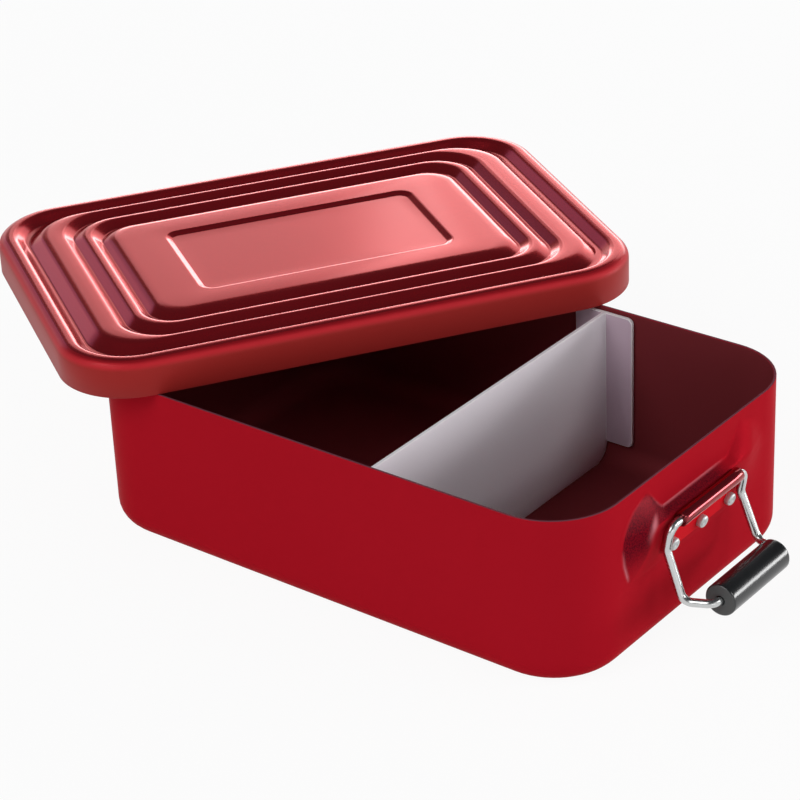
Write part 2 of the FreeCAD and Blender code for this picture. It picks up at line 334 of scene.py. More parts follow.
def end_depth(x, y, z):
    """How far a point lies inside the outer skin of an end wall, or None off their flat parts."""
    off_flat = abs(y) > tub_half_width - tub_corner + hair
    if off_flat or abs(x) < tub_half_length - sheet - hair:
        return None
    return tub_half_length + pad_height(y, z) - abs(x)


def painted_light_side(x, y, z):
    """Share of the painted shade and painted highlights on an end wall's outer skin, on one side of
    each pad only.
    """
    depth = end_depth(x, y, z)
    if depth is None or depth >= sheet / 2:
        return 0
    return share(y if x > 0 else -y, *painted_light_side_span)


def in_tub(x, y, z):
    """Whether a point lies on the inner skin."""
    if z < sheet - hair or z > tub_height - rim_band:
        return False
    depth = end_depth(x, y, z)
    if depth is not None and z >= base_round:
        return depth > sheet / 2
    over_x = max(abs(x) - tub_half_length + tub_corner, 0)
    over_y = max(abs(y) - tub_half_width + tub_corner, 0)
    wall = tub_corner
    if z <= base_round:
        wall += math.sqrt(base_round**2 - (base_round - z) ** 2) - base_round
    return math.hypot(over_x, over_y) < wall - sheet / 2


tub_lacquer, tree, shader = grained_finish(
    "tub_lacquer",
    light=(0.41, 0.0080, 0.018),
    dark=(0.385, 0.0065, 0.015),
    rough=(0.36, 0.44),
    speck_scale=2600,
    cloud_scale=14,
    bump=0.12,
)
shader.inputs["Metallic"].default_value = 0.1
shader.inputs["Specular IOR Level"].default_value = 0.005
shader.inputs["Specular Tint"].default_value = (1.0, 0.10, 0.12, 1)
tub_mesh = ringed_mesh("tub", tub_rings())
# painted shade on one flank and the top of each pad, and painted highlights along its edges, on one
# side only
painted(tub_mesh, "pad_shade", lambda x, y, z: pad_shade_share(y, z) * painted_light_side(x, y, z))
painted(tub_mesh, "pad_highlight", lambda x, y, z: pad_highlight_share(y, z) * painted_light_side(x, y, z))
painted(tub_mesh, "inner_skin", in_tub)
painted(tub_mesh, "cut_edge", lambda x, y, z: z > tub_height - cut_edge_depth)
# the painted shade on the pads is broken up into dark grains
shade_speckle = tree.nodes.new("ShaderNodeTexNoise")
shade_speckle.inputs["Scale"].default_value = 1700
place = tree.nodes.new("ShaderNodeTexCoord")
tree.links.new(place.outputs["Object"], shade_speckle.inputs["Vector"])
patchy = tree.nodes.new("ShaderNodeMapRange")
patchy.inputs["From Min"].default_value = 0.35
patchy.inputs["From Max"].default_value = 0.65
patchy.inputs["To Min"].default_value = 0.55
patchy.inputs["To Max"].default_value = 1.0
tree.links.new(shade_speckle.outputs["Fac"], patchy.inputs["Value"])
pad_shade = tree.nodes.new("ShaderNodeMath")
pad_shade.operation = "MULTIPLY"
tree.links.new(mask_of(tree, "pad_shade"), pad_shade.inputs[0])
tree.links.new(patchy.outputs["Result"], pad_shade.inputs[1])
for mask, colour in (
    # painted shade: the inner skin is a darker red than the outside
    (mask_of(tree, "inner_skin"), (0.17, 0.024, 0.029, 1)),
    # painted shade on one side of each pad, broken into grains
    (pad_shade.outputs[0], (0.075, 0.003, 0.009, 1)),
    # painted highlights along the pad's edges and ridge
    (mask_of(tree, "pad_highlight"), (0.55, 0.17, 0.20, 1)),
    (mask_of(tree, "cut_edge"), (0.16, 0.05, 0.07, 1)),
):
    blended(tree, shader.inputs["Base Color"], mask, colour)
stand_in("tub", tub_mesh, tub_lacquer, "box", "body_shell")


# BRACKETS
# A strip of the same red sheet on each pad. Its top edge is rolled outward into a barrel that the
# clip's wire turns in, and the plate below it is wider and has round lower corners.
pad_tilt = math.atan2(pad_rise, pad_crest - pad_foot)
pad_crest_place = Matrix.Translation((tub_half_length + pad_rise, 0, pad_crest))
pad_frame = pad_crest_place @ Matrix.Rotation(pad_tilt, 4, "Y")
to_pad = pad_frame.inverted()
plate_half_width = 23.5
plate_top = -4.5
plate_bottom = -16.0
plate_corner = 3.0
shoulder = 1.2
shoulder_cut = 0.35
neck = 0.8
neck_cut = 0.25
barrel_half_length = 19.0
barrel_radius = 2.7
barrel_bore = 1.7
barrel_place = -1.45
barrel_seam = -145
bracket_edge = 0.15
gloss_blend = 0.3


def bracket_section():
    """Back and front skin with the half width there, from the plate's foot to the roll's end."""
    section = []
    for turn in np.radians(np.linspace(0, 90, 7, endpoint=False)):
        z = plate_bottom + plate_corner * (1 - math.cos(turn))
        half = plate_half_width - plate_corner * (1 - math.sin(turn))
        section.append(((0, z), (sheet, z), half))
    for z, half in (
        (plate_bottom + plate_corner, plate_half_width),
        (plate_top - shoulder, plate_half_width),
        (plate_top - shoulder_cut, plate_half_width - shoulder_cut),
        (plate_top, plate_half_width - shoulder),
        (plate_top + hair, barrel_half_length + neck),
        (plate_top + neck_cut, barrel_half_length + neck_cut),
        (plate_top + neck, barrel_half_length),
    ):
        section.append(((0, z), (sheet, z), half))
    for turn in np.radians(np.linspace(180, barrel_seam, 56)):
        across, up = math.cos(turn), math.sin(turn)
        back = (barrel_radius + barrel_radius * across, barrel_place + barrel_radius * up)
        front = (barrel_radius + barrel_bore * across, barrel_place + barrel_bore * up)
        section.append((back, front, barrel_half_length))
    return section


def bracket_mesh():
    """The bracket's sheet, ring by ring along its section, with the front skin first."""
    columns = np.linspace(-1, 1, 9)
    rings = []
    for back, front, half in bracket_section():
        ring = [(front[0], half * c, front[1]) for c in columns]
        ring += [(back[0], half * c, back[1]) for c in columns[::-1]]
        rings.append([pad_frame @ Vector(point) for point in ring])
    return ringed_mesh("bracket", rings)


def finished_mesh(holder):
    """The mesh that an object's modifiers make of it. The object itself is removed."""
    graph = bpy.context.evaluated_depsgraph_get()
    made = bpy.data.meshes.new_from_object(holder.evaluated_get(graph))
    bpy.data.objects.remove(holder)
    return made


def broken_edges(mesh, width, angle):
    """The same mesh with its edges over an angle in degrees rounded by a small bevel."""
    holder = placed("bevel_holder", mesh)
    bevel = holder.modifiers.new("broken_edge", "BEVEL")
    bevel.width = width * metres
    bevel.segments = 2
    bevel.limit_method = "ANGLE"
    bevel.angle_limit = math.radians(angle)
    return smoothed(finished_mesh(holder))


def at_both_ends(mesh):
    """The right end's mesh, and the same turned half round for the left end."""
    turned = mesh.copy()
    turned.transform(Matrix.Rotation(math.pi, 4, "Z"))
    return (("right", mesh), ("left", turned))


def on_barrel(x, y, z):
    """Share of the rolled barrel, from the plate's top edge up."""
    height = (to_pad @ Vector((x, y, z))).z
    return share(height, plate_top - gloss_blend, plate_top + gloss_blend)


# the plate is painted a lighter red than the tub of the same sheet, as painted light
bracket_lacquer, tree, shader = grained_finish(
    "bracket_lacquer",
    light=(0.63, 0.0085, 0.018),
    dark=(0.60, 0.007, 0.015),
    rough=(0.34, 0.42),
    speck_scale=2600,
    cloud_scale=40,
    bump=0.08,
)
shader.inputs["Specular IOR Level"].default_value = 0.005
shader.inputs["Specular Tint"].default_value = (1.0, 0.10, 0.12, 1)
shader.inputs["Metallic"].default_value = 0.02
shader.inputs["Coat Roughness"].default_value = 0.08
bracket_made = broken_edges(bracket_mesh(), bracket_edge, 40)
painted(bracket_made, "rolled", on_barrel)
# the barrel is glossier than the plate, and painted a darker red as painted shade
blended(tree, shader.inputs["Base Color"], mask_of(tree, "rolled"), (0.24, 0.006, 0.014, 1))
for name, value in (("Coat Weight", 0.8), ("Roughness", 0.13), ("Metallic", 0.75)):
    blended(tree, shader.inputs[name], mask_of(tree, "rolled"), value, "FLOAT")
for side, mesh in at_both_ends(bracket_made):
    name = side + "_clip_bracket"
    stand_in(name, mesh, bracket_lacquer, "box", side + "_bracket")


# RIVETS
# Three aluminium rivets hold each bracket. The bevelled head stands outside on the plate with a
# small dimple from the setting tool, and the flat tail is pressed against the inside of the pad.
rivet_count = 3
rivet_pitch = 18.6
rivet_drop = 12.7
rivet_head = 2.4
rivet_shank = 1.45
rivet_seat = 1.03
head_face = 3.3
tail_face = -2.4
# place along the rivet and radius there: tail, shank, head, bevel and dimple
rivet_profile = [
    (tail_face, 0.5), (tail_face, 2.0), (tail_face + 0.08, 2.28), (tail_face + 0.3, rivet_head),
    (-1.1, rivet_head), (-rivet_seat, 2.2), (-rivet_seat, rivet_shank), (rivet_seat, rivet_shank),
    (rivet_seat, 2.32), (1.12, rivet_head), (2.7, rivet_head), (2.8, 2.37), (3.2, 2.0),
    (head_face, 1.85), (head_face, 0.9), (3.25, 0.75), (3.0, 0.45), (2.95, 0.2),
]


def rivet_mesh(steps):
    """One rivet, turned about the X axis."""
    angles = np.linspace(0, 2 * math.pi, steps, endpoint=False)
    rings = []
    for along, radius in rivet_profile:
        rings.append([(along, radius * math.cos(a), radius * math.sin(a)) for a in angles])
    return ringed_mesh("rivet_shape", rings)


def geometry_tree(name, sockets):
    """A geometry tree with named inputs, their kinds and starting values, and one output."""
    tree = bpy.data.node_groups.new(name, "GeometryNodeTree")
    for label, kind, start in sockets:
        socket = tree.interface.new_socket(label, in_out="INPUT", socket_type="NodeSocket" + kind)
        if start is not None:
            socket.default_value = start
    tree.interface.new_socket("Geometry", in_out="OUTPUT", socket_type="NodeSocketGeometry")
    return tree, tree.nodes.new("NodeGroupInput"), tree.nodes.new("NodeGroupOutput")


def run_tree(tree, base, values):
    """Runs a geometry tree on a base mesh and gives back the result as a plain mesh."""
    holder = placed("tree_holder", base)
    modifier = holder.modifiers.new("made_by_rule", "NODES")
    modifier.node_group = tree
    for socket in tree.interface.items_tree:
        if socket.in_out == "INPUT" and socket.name in values:
            modifier[socket.identifier] = values[socket.name]
    return finished_mesh(holder)


def rivet_row_tree():
    """Geometry tree that sets a row of three like rivets at an even pitch along Y."""
    tree, given, result = geometry_tree(
        "rivet_row",
        (
            ("Rivet", "Object", None),
            ("Count", "Int", rivet_count),
            ("Pitch", "Float", rivet_pitch * metres),
            ("Drop", "Float", rivet_drop * metres),
            ("Metal", "Material", None),
        ),
    )
    shape = tree.nodes.new("GeometryNodeObjectInfo")
    row = tree.nodes.new("GeometryNodeMeshLine")
    step = tree.nodes.new("ShaderNodeCombineXYZ")
    start = tree.nodes.new("ShaderNodeCombineXYZ")
    back = tree.nodes.new("ShaderNodeMath")
    down = tree.nodes.new("ShaderNodeMath")
    for reverse in (back, down):
        reverse.operation = "MULTIPLY"
        reverse.inputs[1].default_value = -1.0
    place = tree.nodes.new("GeometryNodeInstanceOnPoints")
    real = tree.nodes.new("GeometryNodeRealizeInstances")
    paint = tree.nodes.new("GeometryNodeSetMaterial")
    link = tree.links.new
    link(given.outputs["Rivet"], shape.inputs["Object"])
    link(given.outputs["Count"], row.inputs["Count"])
    link(given.outputs["Pitch"], step.inputs["Y"])
    link(given.outputs["Pitch"], back.inputs[0])
    link(given.outputs["Drop"], down.inputs[0])
    link(back.outputs[0], start.inputs["Y"])
    link(down.outputs[0], start.inputs["Z"])
    link(step.outputs[0], row.inputs["Offset"])
    link(start.outputs[0], row.inputs["Start Location"])
    link(row.outputs["Mesh"], place.inputs["Points"])
    link(shape.outputs["Geometry"], place.inputs["Instance"])
    link(place.outputs["Instances"], real.inputs["Geometry"])
    link(real.outputs["Geometry"], paint.inputs["Geometry"])
    link(given.outputs["Metal"], paint.inputs["Material"])
    link(paint.outputs["Geometry"], result.inputs["Geometry"])
    return tree


rivet_metal, tree, shader = grained_finish(
    "rivet_metal",
    light=(0.66, 0.68, 0.68),
    dark=(0.52, 0.54, 0.54),
    rough=(0.32, 0.42),
    speck_scale=3800,
    cloud_scale=900,
    bump=0.35,
)
shader.inputs["Metallic"].default_value = 0.5
rivet_shape = bpy.data.objects.new("rivet_shape", rivet_mesh(40))
rivet_row = run_tree(
    rivet_row_tree(),
    bpy.data.meshes.new("rivet_base"),
    {
        "Rivet": rivet_shape,
        "Count": rivet_count,
        "Pitch": rivet_pitch * metres,
        "Drop": rivet_drop * metres,
        "Metal": rivet_metal,
    },
)
bpy.data.objects.remove(rivet_shape)
rivet_row.transform(Matrix.Scale(metres, 4) @ pad_frame @ Matrix.Scale(millimetres, 4))
for side, mesh in at_both_ends(rivet_row):
    stand_in(side + "_rivet_row", mesh, rivet_metal, "box", side + "_rivets")


# CLIP WIRES
# One length of plated steel wire at each end, bent cold. It turns in the bracket's barrel, runs
# down both sides with a slight kink, and its two ends turn inward into the grip.
wire_radius = 1.6
wire_bend = 4.5
wire_slide = -1.0
grip_out = 16.7
grip_down = -26.8
wire_middle = pad_frame @ Vector((barrel_radius, 0, barrel_place)) + Vector((0, wire_slide, 0))
# corners of half the wire, out, along and up from the barrel: grip, foot, kink and barrel
wire_half = [
    (grip_out, 7.7, grip_down),
    (grip_out, 21.61, grip_down),
    (5.7, 25.0, -27.8),
    (-1.6, 24.4, -9.2),
    (0, 24.4, 0),
]
wire_route = [wire_middle + Vector(point) for point in wire_half]
wire_route += [wire_middle + Vector((x, -y, z)) for x, y, z in reversed(wire_half)]


def bent_wire_tree():
    """Geometry tree that bends a wire of even thickness along a route of straight runs."""
    tree, given, result = geometry_tree(
        "bent_wire",
        (
            ("Route", "Geometry", None),
            ("Bend Radius", "Float", wire_bend * metres),
            ("Wire Radius", "Float", wire_radius * metres),
            ("Metal", "Material", None),
        ),
    )
    route = tree.nodes.new("GeometryNodeMeshToCurve")
    bend = tree.nodes.new("GeometryNodeFilletCurve")
    bend.mode = "POLY"
    bend.inputs["Count"].default_value = 14
    section = tree.nodes.new("GeometryNodeCurvePrimitiveCircle")
    section.inputs["Resolution"].default_value = 28
    wire = tree.nodes.new("GeometryNodeCurveToMesh")
    wire.inputs["Fill Caps"].default_value = True
    real = tree.nodes.new("GeometryNodeRealizeInstances")
    paint = tree.nodes.new("GeometryNodeSetMaterial")
    link = tree.links.new
    link(given.outputs["Route"], route.inputs["Mesh"])
    link(route.outputs["Curve"], bend.inputs["Curve"])
    link(given.outputs["Bend Radius"], bend.inputs["Radius"])
    link(given.outputs["Wire Radius"], section.inputs["Radius"])
    link(bend.outputs["Curve"], wire.inputs["Curve"])
    link(section.outputs["Curve"], wire.inputs["Profile Curve"])
    link(wire.outputs["Mesh"], real.inputs["Geometry"])
    link(real.outputs["Geometry"], paint.inputs["Geometry"])
    link(given.outputs["Metal"], paint.inputs["Material"])
    link(paint.outputs["Geometry"], result.inputs["Geometry"])
    return tree


wire_plating, tree, shader = grained_finish(
    "wire_plating",
    light=(0.62, 0.63, 0.63),
    dark=(0.52, 0.53, 0.53),
    rough=(0.20, 0.30),
    speck_scale=2400,
    cloud_scale=260,
    bump=0.04,
)
shader.inputs["Metallic"].default_value = 1.0
wire_base = bpy.data.meshes.new("wire_route")
wire_runs = [(i, i + 1) for i in range(len(wire_route) - 1)]
wire_base.from_pydata([point * metres for point in wire_route], wire_runs, [])
wire_mesh = run_tree(
    bent_wire_tree(),
    wire_base,
    {"Bend Radius": wire_bend * metres, "Wire Radius": wire_radius * metres, "Metal": wire_plating},
)
smoothed(wire_mesh)
for side, mesh in at_both_ends(wire_mesh):
    name, body = side + "_clip_wire", side + "_bail"
    stand_in(name, mesh, wire_plating, body, side + "_bail_wire")


# GRIPS
# A black moulded plastic roller on the two wire ends of each clip. Its two mould halves leave a
# fine parting line on opposite sides, the ends are bevelled, and each has a bore for the wire.
grip_half_length = 18.7
grip_radius = 6.1
grip_bevel = 0.8
grip_bore = 1.7
grip_bore_depth = 12
grip_lip = 0.3
grip_land = 0.1
grip_shoulder = 2
grip_place = wire_middle + Vector((grip_out, 0, grip_down))
# the parting line's place round the grip and half width in radians, and its height
parting = 2.7
parting_half = 0.03
parting_crown = 0.012
parting_rise = 0.12


def grip_profile():
    """Places along the grip and radii there, from bore to bore over the outside."""
    half = [
        (grip_half_length - grip_bore_depth, grip_bore),
        (grip_half_length - grip_lip, grip_bore),
        (grip_half_length, grip_bore + grip_lip),
        (grip_half_length, grip_radius - grip_bevel - grip_land),
    ]
    for turn in np.radians((15, 45, 75)):
        along = grip_half_length - grip_bevel * (1 - math.cos(turn))
        half.append((along, grip_radius - grip_bevel * (1 - math.sin(turn))))
    half.append((grip_half_length - grip_bevel - grip_land, grip_radius))
    plain = np.linspace(grip_half_length - grip_shoulder, 0, 6)
    half += [(along, grip_radius) for along in plain]
    return half + [(-along, radius) for along, radius in reversed(half[:-1])]


def grip_mesh():
    """The roller about the Y axis, with its parting lines as two fine ridges."""
    angles = list(np.linspace(0, 2 * math.pi, 96, endpoint=False))
    for line in (parting, parting + math.pi):
        for off in (-parting_half, -parting_crown, 0, parting_crown, parting_half):
            angles.append(line + off)
    rings = []
    for along, radius in reversed(grip_profile()):
        ring = []
        for angle in sorted(angles):
            off = min(abs(angle - parting), abs(angle - parting - math.pi))
            outside = radius > grip_radius - hair
            out = radius + (parting_rise * max(1 - off / parting_half, 0) if outside else 0)
            ring.append(grip_place + Vector((out * math.sin(angle), along, out * math.cos(angle))))
        rings.append(ring)
    return ringed_mesh("grip", rings, sharp=40)


def on_grip_end(x, y, z):
    """Share of the grip's flat end faces."""
    return share(abs(y - wire_slide), grip_half_length - grip_lip, grip_half_length)


grip_plastic, tree, shader = grained_finish(
    "grip_plastic",
    light=(0.011, 0.012, 0.013),
    dark=(0.008, 0.009, 0.010),
    rough=(0.15, 0.21),
    speck_scale=1800,
    cloud_scale=60,
    bump=0.2,
)
shader.inputs["IOR"].default_value = 1.62
grip_made = grip_mesh()
painted(grip_made, "end_face", on_grip_end)
blended(tree, shader.inputs["Base Color"], mask_of(tree, "end_face"), (0.042, 0.045, 0.045, 1))
blended(tree, shader.inputs["Roughness"], mask_of(tree, "end_face"), 0.6, "FLOAT")
for side, mesh in at_both_ends(grip_made):
    name, body = side + "_clip_grip", side + "_grip"
    stand_in(name, mesh, grip_plastic, body, side + "_grip")


# DIVIDER
# A loose cross wall of frosted plastic, moulded with a flange along each long wall of the tub. Its
# foot corners follow the round of the tub's base. Its edges are painted paler, as painted light
# where light leaves them, and its flanges darker and pinker, as painted shade with the tub wall's
# red painted in.
wall_place = 26.2
wall_thickness = 1.6
wall_half_width = 73.7
wall_foot = 1.1
wall_top = 65.0
wall_sunk = 0.4
wall_edge = 0.3
foot_round = 8.0
flange_half = 12.9
flange_corner = 2.5
flange_slack = 0.2
# the faces of the rounded edges are smaller than this, in square metres
edge_face_area = 0.0001


def slab(name, outline, step):
    """A flat slab: an outline and the step through its thickness."""
    far = [Vector(point) + Vector(step) for point in outline]
    return ringed_mesh(name, [[Vector(point) for point in outline], far])


def joined(meshes):
    """One closed mesh from meshes that run into each other."""
    first, *others = [placed("join_holder", mesh) for mesh in meshes]
    for other in others:
        union = first.modifiers.new("union", "BOOLEAN")
        union.operation = "UNION"
        union.solver = "EXACT"
        union.object = other
    made = finished_mesh(first)
    for other in others:
        bpy.data.objects.remove(other)
    return made


def flange_outline(turns):
    """Places along the tub and heights round a flange, which has four round corners."""
    low = wall_foot + foot_round
    tall = (wall_top - low) / 2
    outline = []
    for quarter, (right, up) in enumerate(((1, 1), (-1, 1), (-1, -1), (1, -1))):
        middle_x = wall_place + (flange_half - flange_corner) * right
        middle_z = low + tall + (tall - flange_corner) * up
        for t in turns + quarter * math.pi / 2:
            x, z = flange_corner * math.cos(t), flange_corner * math.sin(t)
            outline.append((middle_x + x, middle_z + z))
    return outline


def divider_mesh():
    """The cross wall and its two flanges, run into each other, with every edge a little rounded."""
    turns = np.radians(np.linspace(0, 90, 9))
    left = wall_place - wall_thickness / 2
    reach = wall_half_width - wall_sunk
    half = [(reach, wall_top)]
    for t in turns:
        y = reach - foot_round * (1 - math.cos(t))
        half.append((y, wall_foot + foot_round * (1 - math.sin(t))))
    web = [(left, y, z) for y, z in half] + [(left, -y, z) for y, z in reversed(half)]
    slabs = [slab("web", web[::-1], (wall_thickness, 0, 0))]
    for start in (wall_half_width, -wall_half_width + wall_thickness):
        outline = [(x, start, z) for x, z in flange_outline(turns)]
        slabs.append(slab("flange", outline, (0, -wall_thickness, 0)))
    return broken_edges(joined(slabs), wall_edge, 50)


def faced(mesh, name, rule):
    """Stores 1 on each face of a mesh that a rule picks, and 0 on the others."""
    layer = mesh.attributes.new(name, "FLOAT", "FACE")
    layer.data.foreach_set("value", [float(rule(face)) for face in mesh.polygons])


divider_plastic, tree, shader = grained_finish(
    "divider_plastic",
    light=(0.95, 0.90, 0.95),
    dark=(0.92, 0.86, 0.92),
    rough=(0.42, 0.52),
    speck_scale=1400,
    cloud_scale=30,
    bump=0.15,
)
shader.inputs["Transmission Weight"].default_value = 0.25
shader.inputs["IOR"].default_value = 1.4
divider_made = divider_mesh()
flange_inside = (wall_half_width - wall_thickness - flange_slack) * metres
faced(divider_made, "edge_light", lambda face: face.area <= edge_face_area)
faced(divider_made, "flange", lambda face: abs(face.center.y) > flange_inside)
# the flanges are painted darker and pinker: painted shade against the tub wall, with the wall's red
# painted in behind them
blended(tree, shader.inputs["Base Color"], mask_of(tree, "flange"), (0.66, 0.50, 0.60, 1))
# the rounded edges are painted paler: painted light where light leaves the plastic
blended(tree, shader.inputs["Base Color"], mask_of(tree, "edge_light"), (1.0, 0.95, 0.98, 1))
stand_in("cross_wall", divider_made, divider_plastic, "divider", "divider")


# LID
# A shallow pressing of the same red sheet with a deep skirt. Inside the bead at its edge lie a
# valley and two ribs, then a plateau with a shallow recess. It lies across the open tub, turned
# from the tub's length, and its skirt is duller than its top.
lid_overlap = 1.4
lid_half_length = tub_half_length + lid_overlap
lid_half_width = tub_half_width + lid_overlap
lid_corner = tub_corner + lid_overlap
lid_edge = 0.25
lid_gap = 0.1
lid_angle = math.radians(57.2)
lid_place = Matrix.Translation((-89.7, 36.8, tub_height + lid_gap))
lid_turn = lid_place @ Matrix.Rotation(lid_angle, 4, "Z")
to_lid = lid_turn.inverted()
roll_width = 4.5
# heights over the skirt's edge between which the finish changes
satin_span = (14.4, 12.9)
skirt_span = (12.2, 11.0)
# inset on a long side, inset at an end, corner radius in plan, height, radius of the bend
lid_bends = np.array((
    (0.0, 0.0, 28.4, 0.0, 0),
    (0.0, 0.0, 28.4, 14.5, 4.4),
    (6.4, 6.8, 22.0, 14.5, 2.6),
    (8.9, 10.6, 19.5, 11.0, 1.0),
    (10.2, 12.0, 21.0, 11.0, 0.9),
    (14.4, 17.0, 19.5, 15.0, 3.4),
    (16.7, 24.8, 18.5, 15.0, 2.8),
    (20.4, 28.6, 16.0, 12.4, 0.5),
    (24.4, 32.2, 15.0, 15.0, 4.0),
    (26.7, 35.0, 14.0, 15.0, 3.2),
    (30.4, 38.8, 12.0, 12.4, 0.5),
    (34.6, 42.2, 11.0, 15.0, 9.0),
    (47.9, 61.9, 6.0, 15.0, 1.6),
    (50.2, 64.2, 3.7, 13.8, 1.2),
    (56.0, 70.0, 3.0, 13.8, 0),
))
side_insets, end_insets, plan_corners, bend_heights, bend_radii = lid_bends.T
# longest turn in radians between two rings of a bend, and the least count of rings in it
bend_step = 0.16
bend_rings = 4


def lid_section():
    """The section through the lid's bends, each rounded to its radius, with unit tangents."""
    corners = np.column_stack((side_insets, bend_heights))
    points = [corners[0]]
    for before, corner, after, radius in zip(corners, corners[1:], corners[2:], bend_radii[1:]):
        back = (before - corner) / np.linalg.norm(before - corner)
        onward = (after - corner) / np.linalg.norm(after - corner)
        half = math.acos(float(np.clip(back @ onward, -1, 1))) / 2
        inward = (back + onward) / np.linalg.norm(back + onward)
        middle = corner + inward * radius / math.sin(half)
        first = corner + back * radius / math.tan(half) - middle
        last = corner + onward * radius / math.tan(half) - middle
        side = 1 if first[0] * last[1] > first[1] * last[0] else -1
        sweep = math.pi - 2 * half
        for t in np.linspace(0, sweep, max(bend_rings, int(sweep / bend_step) + 1)):
            c, s = math.cos(side * t), math.sin(side * t)
            spoke = np.array((c * first[0] - s * first[1], s * first[0] + c * first[1]))
            points.append(middle + spoke)
    points = np.array(points + [corners[-1]])
    tangents = np.gradient(points, axis=0)
    tangents /= np.linalg.norm(tangents, axis=1)[:, None]
    tangents[0], tangents[-1] = (0, 1), (1, 0)
    return points, tangents


def lid_ring(inset, shift, z):
    """One ring of the lid; shift is how far the under skin lies inside the upper one."""
    end_inset = np.interp(inset, side_insets[1:], end_insets[1:])
    corner = np.interp(inset, side_insets[1:], plan_corners[1:])
    loop = rounded_loop(
        lid_half_length - end_inset - shift, lid_half_width - inset - shift, corner - shift,
        end_steps=20, side_steps=30, corner_steps=22,
    )
    return [lid_turn @ Vector((x, y, z)) for x, y in loop]


def lid_rings():
    """Rings from the middle of the under skin out to the skirt's edge and back over the top."""
    points, tangents = lid_section()
    rings = []
    for (inset, z), (along, up) in zip(points[::-1], tangents[::-1]):
        rings.append(lid_ring(inset, sheet * up, z - sheet * along))
    rings[-1] = lid_ring(0, sheet, lid_edge)
    rings.append(lid_ring(0, sheet - lid_edge, 0))
    rings.append(lid_ring(0, lid_edge, 0))
    rings.append(lid_ring(0, 0, lid_edge))
    rings += [lid_ring(inset, 0, z) for inset, z in points[1:]]
    return rings


def skirt_share(x, y, z, span):
    """How far a point on the roll or the skirt lies down a span of heights."""
    inside = to_lid @ Vector((x, y, z))
    over_x = max(abs(inside.x) - lid_half_length + lid_corner, 0)
    over_y = max(abs(inside.y) - lid_half_width + lid_corner, 0)
    on_roll = math.hypot(over_x, over_y) > lid_corner - roll_width
    return share(inside.z, *span) if on_roll else 0


lid_lacquer, tree, shader = grained_finish(
    "lid_lacquer",
    light=(0.48, 0.010, 0.020),
    dark=(0.45, 0.008, 0.016),
    rough=(0.20, 0.26),
    speck_scale=2600,
    cloud_scale=14,
    bump=0.05,
)
shader.inputs["Metallic"].default_value = 0.8
shader.inputs["Specular IOR Level"].default_value = 0.3
shader.inputs["Specular Tint"].default_value = (1.0, 0.3, 0.32, 1)
shader.inputs["Coat Weight"].default_value = 1.0
shader.inputs["Coat Roughness"].default_value = 0.16
shader.inputs["Coat IOR"].default_value = 1.42
lid_made = ringed_mesh("lid", lid_rings())
painted(lid_made, "satin", lambda x, y, z: skirt_share(x, y, z, satin_span))
painted(lid_made, "skirt", lambda x, y, z: skirt_share(x, y, z, skirt_span))
blended(tree, shader.inputs["Base Color"], mask_of(tree, "satin"), (0.50, 0.020, 0.028, 1))
blended(tree, shader.inputs["Base Color"], mask_of(tree, "skirt"), (0.32, 0.021, 0.018, 1))
for name, value in (("Roughness", 0.5), ("Metallic", 0.05), ("Coat Weight", 0.02)):
    blended(tree, shader.inputs[name], mask_of(tree, "satin"), value, "FLOAT")
stand_in("lid_pressing", lid_made, lid_lacquer, "lid", "lid_shell")


# FLOOR, LIGHT AND CAMERA
# A white floor that runs out of sight, soft lamps behind the box, at its sides and high in front, a
# sky that is dark overhead, and the camera where the photograph was taken from. Metres and degrees.
floor_half = 9
floor_drop = 0.0002
floor_glow = 0.93
lamp_aim = Vector((0, 0, 0.05))
camera_azimuth = 38.679
camera_elevation = 28.035
camera_roll = math.radians(-2.61)
camera_away = 1.056764
camera_right = -0.016025
camera_up = 0.045449
focal_pixels = 2768.952
picture_pixels = 800
sensor_width = 36.0


def direction(azimuth, elevation):
    """The way out from the box; azimuth is counted round from the front, to the right."""
    a, e = math.radians(azimuth), math.radians(elevation)
    return Vector((math.sin(a) * math.cos(e), -math.cos(a) * math.cos(e), math.sin(e)))


def area_lamp(name, azimuth, elevation, distance, size, radiance, colour=(1, 1, 1)):
    """A rectangular lamp that faces the box."""
    out = direction(azimuth, elevation)
    lamp = bpy.data.lights.new(name, "AREA")
    lamp.shape = "RECTANGLE"
    lamp.size, lamp.size_y = size
    lamp.energy = radiance * math.pi * size[0] * size[1]
    lamp.color = colour
    holder = placed(name, lamp)
    holder.location = out * distance + lamp_aim
    holder.rotation_euler = out.to_track_quat("Z", "Y").to_euler()


area_lamp("back_lamp", 199, 23, 1.6, (1.1, 0.6), 1.38)
area_lamp("left_back_lamp", 227, 23, 1.6, (0.5, 0.6), 0.85)
area_lamp("low_back_lamp", 206, 9, 1.6, (1.6, 0.22), 4.0)
area_lamp("left_lamp", 259, 22, 1.6, (0.6, 0.5), 0.54, (0.5, 0.55, 1.0))
area_lamp("right_strip_lamp", 136, 6, 1.6, (0.9, 0.34), 10.0)
area_lamp("right_lamp", 102, 32, 1.7, (0.9, 0.4), 5.0)
area_lamp("low_right_lamp", 62, 12, 1.7, (0.8, 0.35), 1.6)
area_lamp("front_lamp", 350, 42, 1.8, (1.2, 0.8), 4.5)

floor_mesh = bpy.data.meshes.new("floor")
floor_signs = ((-1, -1), (1, -1), (1, 1), (-1, 1))
floor_corners = [(x * floor_half, y * floor_half, 0) for x, y in floor_signs]
floor_mesh.from_pydata(floor_corners, [], [(0, 1, 2, 3)])
floor_mesh.transform(Matrix.Translation((0, 0, -floor_drop)))
floor = placed("floor", floor_mesh)
floor_paint, tree, shader = new_material("floor_paint")
shader.inputs["Base Color"].default_value = (0.92, 0.92, 0.92, 1)
shader.inputs["Roughness"].default_value = 0.9
shader.inputs["Specular IOR Level"].default_value = 0.0
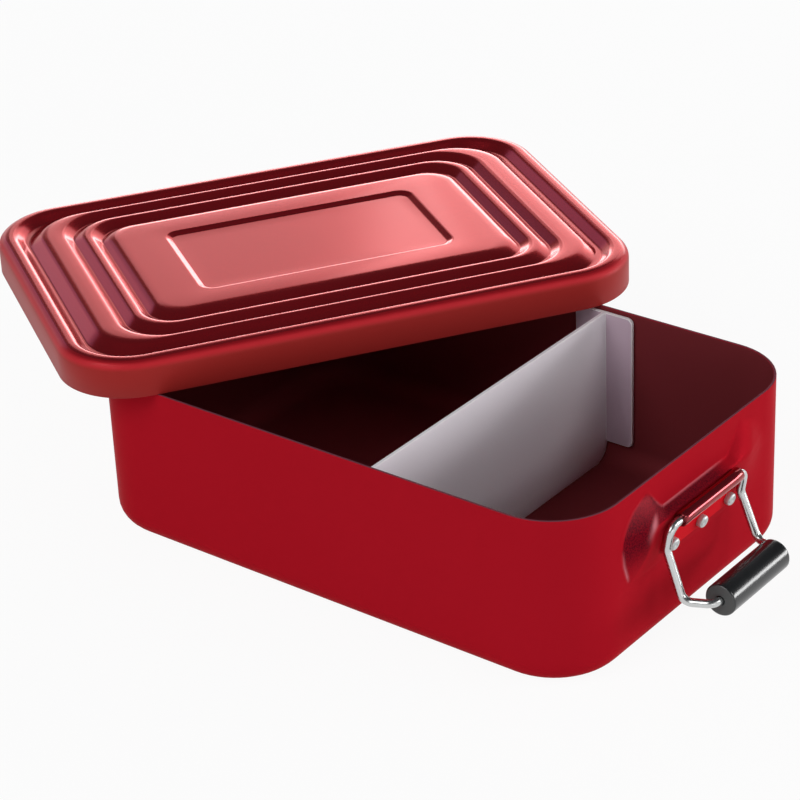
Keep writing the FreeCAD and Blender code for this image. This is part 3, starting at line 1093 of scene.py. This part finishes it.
# where it is seen, mirrored or seen through the cross wall, most of the floor is an even white
rays = tree.nodes.new("ShaderNodeLightPath")
seen = tree.nodes.new("ShaderNodeMath")
seen.operation = "MAXIMUM"
seen_all = tree.nodes.new("ShaderNodeMath")
seen_all.operation = "MAXIMUM"
part = tree.nodes.new("ShaderNodeMath")
part.operation = "MULTIPLY"
part.inputs[1].default_value = floor_glow
white = tree.nodes.new("ShaderNodeEmission")
mixed = tree.nodes.new("ShaderNodeMixShader")
tree.links.new(rays.outputs["Is Camera Ray"], seen.inputs[0])
tree.links.new(rays.outputs["Is Glossy Ray"], seen.inputs[1])
tree.links.new(seen.outputs[0], seen_all.inputs[0])
tree.links.new(rays.outputs["Is Transmission Ray"], seen_all.inputs[1])
tree.links.new(seen_all.outputs[0], part.inputs[0])
tree.links.new(part.outputs[0], mixed.inputs["Fac"])
tree.links.new(shader.outputs["BSDF"], mixed.inputs[1])
tree.links.new(white.outputs["Emission"], mixed.inputs[2])
tree.links.new(mixed.outputs["Shader"], tree.nodes["Material Output"].inputs["Surface"])
floor_mesh.materials.append(floor_paint)

world = bpy.data.worlds.new("studio")
bpy.context.scene.world = world
world.use_nodes = True
tree = world.node_tree
gaze = tree.nodes.new("ShaderNodeTexCoord")
split = tree.nodes.new("ShaderNodeSeparateXYZ")
height = tree.nodes.new("ShaderNodeValToRGB")
horizon, overhead = height.color_ramp.elements
horizon.position = 0.0
horizon.color = (0.97, 0.97, 0.97, 1)
overhead.position = 0.5
overhead.color = (0.07, 0.07, 0.075, 1)
for at, grey in ((0.2, 0.9), (0.34, 0.25)):
    height.color_ramp.elements.new(at).color = (grey, grey, grey, 1)
tree.links.new(gaze.outputs["Generated"], split.inputs["Vector"])
tree.links.new(split.outputs["Z"], height.inputs["Fac"])
tree.links.new(height.outputs["Color"], tree.nodes["Background"].inputs["Color"])

back = direction(camera_azimuth, camera_elevation)
turn = math.radians(camera_azimuth)
level = Vector((math.cos(turn), math.sin(turn), 0))
upright = back.cross(level)
right = level * math.cos(camera_roll) + upright * math.sin(camera_roll)
up = upright * math.cos(camera_roll) - level * math.sin(camera_roll)
place = back * camera_away + right * camera_right + up * camera_up
eye = bpy.data.cameras.new("camera")
eye.sensor_width = sensor_width
eye.lens = focal_pixels * sensor_width / picture_pixels
camera = placed("camera", eye)
camera.matrix_world = Matrix(
    (
        (right.x, up.x, back.x, place.x),
        (right.y, up.y, back.y, place.y),
        (right.z, up.z, back.z, place.z),
        (0, 0, 0, 1),
    )
)
bpy.context.scene.camera = camera
bpy.context.scene.view_settings.view_transform = "Standard"
